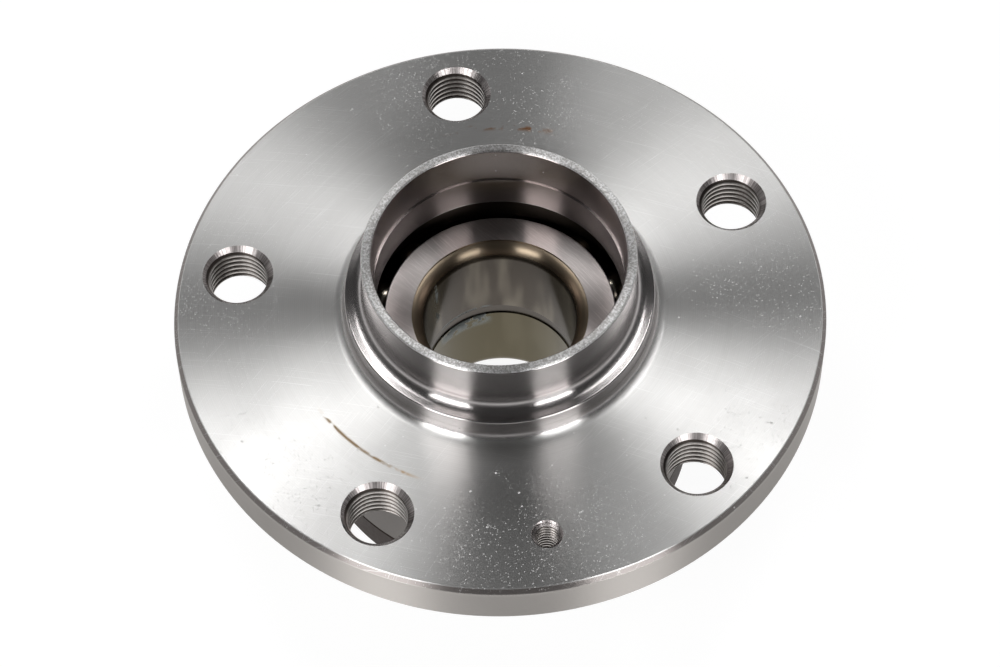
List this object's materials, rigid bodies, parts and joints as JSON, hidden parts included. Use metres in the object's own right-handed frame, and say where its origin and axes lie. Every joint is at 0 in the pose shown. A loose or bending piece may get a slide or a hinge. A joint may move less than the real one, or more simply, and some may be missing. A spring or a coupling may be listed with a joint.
{
  "type": "wheel hub bearing",
  "caption": "Wheel hub bearing: a turning flanged outer ring with threaded bolt holes and a stepped pilot collar, on caged balls around split inner rings, with seal and encoder.",
  "frame": {"origin": "on the bearing's axis at the inboard end, where the inner ring's face seats on the stub axle's shoulder; the flange face is at z = 0.049", "axes": "+Z along the bearing's axis, outboard, to the wheel; +Y through one wheel bolt hole; -Y through the brake disc's locating screw hole"},
  "size_m": [0.137, 0.137, 0.0675],
  "materials": {
    "hub_steel": "fine-turned, bare",
    "ring_steel": "ground, bare",
    "ball_steel": "polished",
    "spring_steel": "oiled sheet",
    "cage_polyamide": "moulded",
    "seal_sheet_steel": "pressed sheet",
    "seal_rubber": "matt",
    "encoder_rubber": "magnetised, matt"
  },
  "bodies": {
    "spindle_side": {"outboard_inner_ring": "ring_steel", "inboard_inner_ring": "ring_steel", "coupling_ring": "spring_steel", "flinger": "seal_sheet_steel"},
    "hub": {"hub_flange": "hub_steel", "seal_case": "seal_sheet_steel", "seal_lip": "seal_rubber", "encoder_carrier": "seal_sheet_steel", "encoder_ring": "encoder_rubber"},
    "outboard_cage": {"outboard_cage": "cage_polyamide"},
    "inboard_cage": {"inboard_cage": "cage_polyamide"},
    "outboard_ball_01": {"outboard_ball_01": "ball_steel"},
    "outboard_ball_02": {"outboard_ball_02": "ball_steel"},
    "outboard_ball_03": {"outboard_ball_03": "ball_steel"},
    "outboard_ball_04": {"outboard_ball_04": "ball_steel"},
    "outboard_ball_05": {"outboard_ball_05": "ball_steel"},
    "outboard_ball_06": {"outboard_ball_06": "ball_steel"},
    "outboard_ball_07": {"outboard_ball_07": "ball_steel"},
    "outboard_ball_08": {"outboard_ball_08": "ball_steel"},
    "outboard_ball_09": {"outboard_ball_09": "ball_steel"},
    "outboard_ball_10": {"outboard_ball_10": "ball_steel"},
    "outboard_ball_11": {"outboard_ball_11": "ball_steel"},
    "outboard_ball_12": {"outboard_ball_12": "ball_steel"},
    "outboard_ball_13": {"outboard_ball_13": "ball_steel"},
    "outboard_ball_14": {"outboard_ball_14": "ball_steel"},
    "inboard_ball_01": {"inboard_ball_01": "ball_steel"},
    "inboard_ball_02": {"inboard_ball_02": "ball_steel"},
    "inboard_ball_03": {"inboard_ball_03": "ball_steel"},
    "inboard_ball_04": {"inboard_ball_04": "ball_steel"},
    "inboard_ball_05": {"inboard_ball_05": "ball_steel"},
    "inboard_ball_06": {"inboard_ball_06": "ball_steel"},
    "inboard_ball_07": {"inboard_ball_07": "ball_steel"},
    "inboard_ball_08": {"inboard_ball_08": "ball_steel"},
    "inboard_ball_09": {"inboard_ball_09": "ball_steel"},
    "inboard_ball_10": {"inboard_ball_10": "ball_steel"},
    "inboard_ball_11": {"inboard_ball_11": "ball_steel"},
    "inboard_ball_12": {"inboard_ball_12": "ball_steel"},
    "inboard_ball_13": {"inboard_ball_13": "ball_steel"},
    "inboard_ball_14": {"inboard_ball_14": "ball_steel"}
  },
  "joints": [
    {"name": "hub_spin", "type": "hinge", "parent": "spindle_side", "child": "hub", "pos_m": [0, 0, 0], "axis": [0, 0, 1], "continuous": true},
    {"name": "outboard_cage_orbit", "type": "hinge", "parent": "spindle_side", "child": "outboard_cage", "pos_m": [0, 0, 0.033], "axis": [0, 0, 1], "continuous": true},
    {"name": "outboard_ball_01_spin", "type": "hinge", "parent": "outboard_cage", "child": "outboard_ball_01", "pos_m": [0.02654, 0.00893, 0.033], "axis": [0.5835, 0.1964, 0.788], "continuous": true},
    {"name": "outboard_ball_02_spin", "type": "hinge", "parent": "outboard_cage", "child": "outboard_ball_02", "pos_m": [0.02003, 0.01956, 0.033], "axis": [0.4405, 0.4301, 0.788], "continuous": true},
    {"name": "outboard_ball_03_spin", "type": "hinge", "parent": "outboard_cage", "child": "outboard_ball_03", "pos_m": [0.00956, 0.02632, 0.033], "axis": [0.2103, 0.5786, 0.788], "continuous": true},
    {"name": "outboard_ball_04_spin", "type": "hinge", "parent": "outboard_cage", "child": "outboard_ball_04", "pos_m": [-0.0028, 0.02786, 0.033], "axis": [-0.0616, 0.6126, 0.788], "continuous": true},
    {"name": "outboard_ball_05_spin", "type": "hinge", "parent": "outboard_cage", "child": "outboard_ball_05", "pos_m": [-0.01461, 0.02388, 0.033], "axis": [-0.3213, 0.5252, 0.788], "continuous": true},
    {"name": "outboard_ball_06_spin", "type": "hinge", "parent": "outboard_cage", "child": "outboard_ball_06", "pos_m": [-0.02353, 0.01518, 0.033], "axis": [-0.5173, 0.3338, 0.788], "continuous": true},
    {"name": "outboard_ball_07_spin", "type": "hinge", "parent": "outboard_cage", "child": "outboard_ball_07", "pos_m": [-0.02778, 0.00347, 0.033], "axis": [-0.6109, 0.0762, 0.788], "continuous": true},
    {"name": "outboard_ball_08_spin", "type": "hinge", "parent": "outboard_cage", "child": "outboard_ball_08", "pos_m": [-0.02654, -0.00893, 0.033], "axis": [-0.5835, -0.1964, 0.788], "continuous": true},
    {"name": "outboard_ball_09_spin", "type": "hinge", "parent": "outboard_cage", "child": "outboard_ball_09", "pos_m": [-0.02003, -0.01956, 0.033], "axis": [-0.4405, -0.4301, 0.788], "continuous": true},
    {"name": "outboard_ball_10_spin", "type": "hinge", "parent": "outboard_cage", "child": "outboard_ball_10", "pos_m": [-0.00956, -0.02632, 0.033], "axis": [-0.2103, -0.5786, 0.788], "continuous": true},
    {"name": "outboard_ball_11_spin", "type": "hinge", "parent": "outboard_cage", "child": "outboard_ball_11", "pos_m": [0.0028, -0.02786, 0.033], "axis": [0.0616, -0.6126, 0.788], "continuous": true},
    {"name": "outboard_ball_12_spin", "type": "hinge", "parent": "outboard_cage", "child": "outboard_ball_12", "pos_m": [0.01461, -0.02388, 0.033], "axis": [0.3213, -0.5252, 0.788], "continuous": true},
    {"name": "outboard_ball_13_spin", "type": "hinge", "parent": "outboard_cage", "child": "outboard_ball_13", "pos_m": [0.02353, -0.01518, 0.033], "axis": [0.5173, -0.3338, 0.788], "continuous": true},
    {"name": "outboard_ball_14_spin", "type": "hinge", "parent": "outboard_cage", "child": "outboard_ball_14", "pos_m": [0.02778, -0.00347, 0.033], "axis": [0.6109, -0.0762, 0.788], "continuous": true},
    {"name": "inboard_cage_orbit", "type": "hinge", "parent": "spindle_side", "child": "inboard_cage", "pos_m": [0, 0, 0.013], "axis": [0, 0, 1], "continuous": true},
    {"name": "inboard_ball_01_spin", "type": "hinge", "parent": "inboard_cage", "child": "inboard_ball_01", "pos_m": [0.02654, 0.00893, 0.013], "axis": [-0.5835, -0.1964, 0.788], "continuous": true},
    {"name": "inboard_ball_02_spin", "type": "hinge", "parent": "inboard_cage", "child": "inboard_ball_02", "pos_m": [0.02003, 0.01956, 0.013], "axis": [-0.4405, -0.4301, 0.788], "continuous": true},
    {"name": "inboard_ball_03_spin", "type": "hinge", "parent": "inboard_cage", "child": "inboard_ball_03", "pos_m": [0.00956, 0.02632, 0.013], "axis": [-0.2103, -0.5786, 0.788], "continuous": true},
    {"name": "inboard_ball_04_spin", "type": "hinge", "parent": "inboard_cage", "child": "inboard_ball_04", "pos_m": [-0.0028, 0.02786, 0.013], "axis": [0.0616, -0.6126, 0.788], "continuous": true},
    {"name": "inboard_ball_05_spin", "type": "hinge", "parent": "inboard_cage", "child": "inboard_ball_05", "pos_m": [-0.01461, 0.02388, 0.013], "axis": [0.3213, -0.5252, 0.788], "continuous": true},
    {"name": "inboard_ball_06_spin", "type": "hinge", "parent": "inboard_cage", "child": "inboard_ball_06", "pos_m": [-0.02353, 0.01518, 0.013], "axis": [0.5173, -0.3338, 0.788], "continuous": true},
    {"name": "inboard_ball_07_spin", "type": "hinge", "parent": "inboard_cage", "child": "inboard_ball_07", "pos_m": [-0.02778, 0.00347, 0.013], "axis": [0.6109, -0.0762, 0.788], "continuous": true},
    {"name": "inboard_ball_08_spin", "type": "hinge", "parent": "inboard_cage", "child": "inboard_ball_08", "pos_m": [-0.02654, -0.00893, 0.013], "axis": [0.5835, 0.1964, 0.788], "continuous": true},
    {"name": "inboard_ball_09_spin", "type": "hinge", "parent": "inboard_cage", "child": "inboard_ball_09", "pos_m": [-0.02003, -0.01956, 0.013], "axis": [0.4405, 0.4301, 0.788], "continuous": true},
    {"name": "inboard_ball_10_spin", "type": "hinge", "parent": "inboard_cage", "child": "inboard_ball_10", "pos_m": [-0.00956, -0.02632, 0.013], "axis": [0.2103, 0.5786, 0.788], "continuous": true},
    {"name": "inboard_ball_11_spin", "type": "hinge", "parent": "inboard_cage", "child": "inboard_ball_11", "pos_m": [0.0028, -0.02786, 0.013], "axis": [-0.0616, 0.6126, 0.788], "continuous": true},
    {"name": "inboard_ball_12_spin", "type": "hinge", "parent": "inboard_cage", "child": "inboard_ball_12", "pos_m": [0.01461, -0.02388, 0.013], "axis": [-0.3213, 0.5252, 0.788], "continuous": true},
    {"name": "inboard_ball_13_spin", "type": "hinge", "parent": "inboard_cage", "child": "inboard_ball_13", "pos_m": [0.02353, -0.01518, 0.013], "axis": [-0.5173, 0.3338, 0.788], "continuous": true},
    {"name": "inboard_ball_14_spin", "type": "hinge", "parent": "inboard_cage", "child": "inboard_ball_14", "pos_m": [0.02778, -0.00347, 0.013], "axis": [-0.6109, 0.0762, 0.788], "continuous": true}
  ],
  "couplings": [
    {"joint": "outboard_cage_orbit", "follows": "hub_spin", "ratio": 0.57818},
    {"joint": "outboard_ball_01_spin", "follows": "hub_spin", "ratio": 2.4582},
    {"joint": "outboard_ball_02_spin", "follows": "hub_spin", "ratio": 2.4582},
    {"joint": "outboard_ball_03_spin", "follows": "hub_spin", "ratio": 2.4582},
    {"joint": "outboard_ball_04_spin", "follows": "hub_spin", "ratio": 2.4582},
    {"joint": "outboard_ball_05_spin", "follows": "hub_spin", "ratio": 2.4582},
    {"joint": "outboard_ball_06_spin", "follows": "hub_spin", "ratio": 2.4582},
    {"joint": "outboard_ball_07_spin", "follows": "hub_spin", "ratio": 2.4582},
    {"joint": "outboard_ball_08_spin", "follows": "hub_spin", "ratio": 2.4582},
    {"joint": "outboard_ball_09_spin", "follows": "hub_spin", "ratio": 2.4582},
    {"joint": "outboard_ball_10_spin", "follows": "hub_spin", "ratio": 2.4582},
    {"joint": "outboard_ball_11_spin", "follows": "hub_spin", "ratio": 2.4582},
    {"joint": "outboard_ball_12_spin", "follows": "hub_spin", "ratio": 2.4582},
    {"joint": "outboard_ball_13_spin", "follows": "hub_spin", "ratio": 2.4582},
    {"joint": "outboard_ball_14_spin", "follows": "hub_spin", "ratio": 2.4582},
    {"joint": "inboard_cage_orbit", "follows": "hub_spin", "ratio": 0.57818},
    {"joint": "inboard_ball_01_spin", "follows": "hub_spin", "ratio": 2.4582},
    {"joint": "inboard_ball_02_spin", "follows": "hub_spin", "ratio": 2.4582},
    {"joint": "inboard_ball_03_spin", "follows": "hub_spin", "ratio": 2.4582},
    {"joint": "inboard_ball_04_spin", "follows": "hub_spin", "ratio": 2.4582},
    {"joint": "inboard_ball_05_spin", "follows": "hub_spin", "ratio": 2.4582},
    {"joint": "inboard_ball_06_spin", "follows": "hub_spin", "ratio": 2.4582},
    {"joint": "inboard_ball_07_spin", "follows": "hub_spin", "ratio": 2.4582},
    {"joint": "inboard_ball_08_spin", "follows": "hub_spin", "ratio": 2.4582},
    {"joint": "inboard_ball_09_spin", "follows": "hub_spin", "ratio": 2.4582},
    {"joint": "inboard_ball_10_spin", "follows": "hub_spin", "ratio": 2.4582},
    {"joint": "inboard_ball_11_spin", "follows": "hub_spin", "ratio": 2.4582},
    {"joint": "inboard_ball_12_spin", "follows": "hub_spin", "ratio": 2.4582},
    {"joint": "inboard_ball_13_spin", "follows": "hub_spin", "ratio": 2.4582},
    {"joint": "inboard_ball_14_spin", "follows": "hub_spin", "ratio": 2.4582}
  ]
}
